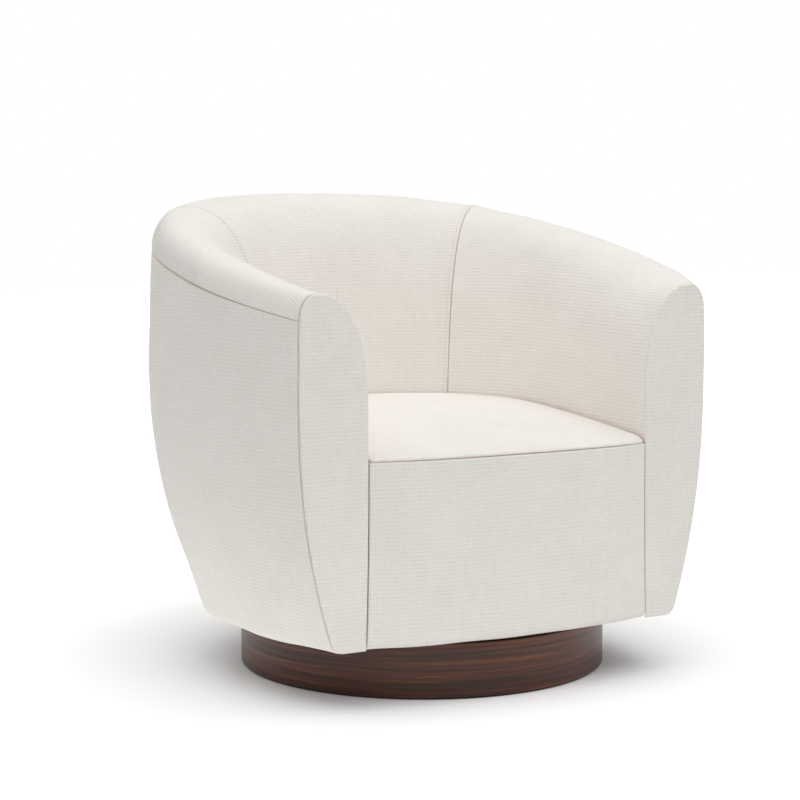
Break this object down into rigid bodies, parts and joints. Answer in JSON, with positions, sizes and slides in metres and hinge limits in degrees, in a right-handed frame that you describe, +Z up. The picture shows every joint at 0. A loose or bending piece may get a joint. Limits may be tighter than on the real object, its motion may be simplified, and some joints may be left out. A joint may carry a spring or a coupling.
{
  "type": "swivel barrel chair",
  "caption": "Upholstered barrel armchair with a rolled rim falling to the arm fronts, a crowned tight seat and a low round wooden swivel plinth.",
  "frame": {"origin": "on the floor, on the swivel axis, at the underside of the plinth's felt pad", "axes": "+Z up along the swivel axis, -Y towards the front of the seat, +X to the right seen from the front"},
  "size_m": [0.816, 0.7814, 0.7512],
  "materials": {
    "fabric": "soft basket weave, matt",
    "walnut": "dark walnut veneer, satin lacquer",
    "plywood": "plain plywood, sanded",
    "steel": "zinc plated steel",
    "balls": "polished bearing steel",
    "cage": "moulded nylon",
    "felt": "pressed felt, dark",
    "spring_cloth": "woven jute, coarse",
    "dust_cloth": "thin nonwoven cloth"
  },
  "bodies": {
    "base": {"floor_pad": "felt", "plinth_ring": "walnut", "plinth_floor_board": "plywood", "plinth_top_board": "plywood", "plinth_blocks": "plywood", "swivel_lower_plate": "steel", "lower_plate_bolts": "steel", "centre_pin": "steel", "pin_washer": "steel", "pin_nut": "steel"},
    "cage": {"ball_cage": "cage", "bearing_balls": "balls"},
    "chair": {"swivel_upper_plate": "steel", "upper_plate_bolts": "steel", "frame_bottom_rib": "plywood", "frame_bottom_board": "plywood", "dust_cover": "dust_cloth", "ribs_left": "plywood", "ribs_right": "plywood", "ribs_back": "plywood", "seat_rail": "plywood", "front_rail": "plywood", "top_rail": "plywood", "arm_board_left": "plywood", "arm_board_right": "plywood", "corner_blocks": "plywood", "seat_springs": "steel", "spring_clips": "steel", "spring_cloth": "spring_cloth", "outside_left": "fabric", "outside_right": "fabric", "outside_back": "fabric", "arm_pad_left": "fabric", "arm_pad_right": "fabric", "inside_back": "fabric", "arm_front_left": "fabric", "arm_front_right": "fabric", "seat_cushion": "fabric", "seat_front": "fabric"}
  },
  "joints": [
    {"name": "swivel", "type": "hinge", "parent": "base", "child": "chair", "pos_m": [0, 0, 0.09], "axis": [0, 0, 1], "continuous": true},
    {"name": "cage_turn", "type": "hinge", "parent": "base", "child": "cage", "pos_m": [0, 0, 0.09], "axis": [0, 0, 1], "continuous": true}
  ],
  "couplings": [
    {"joint": "cage_turn", "follows": "swivel", "ratio": 0.5}
  ]
}
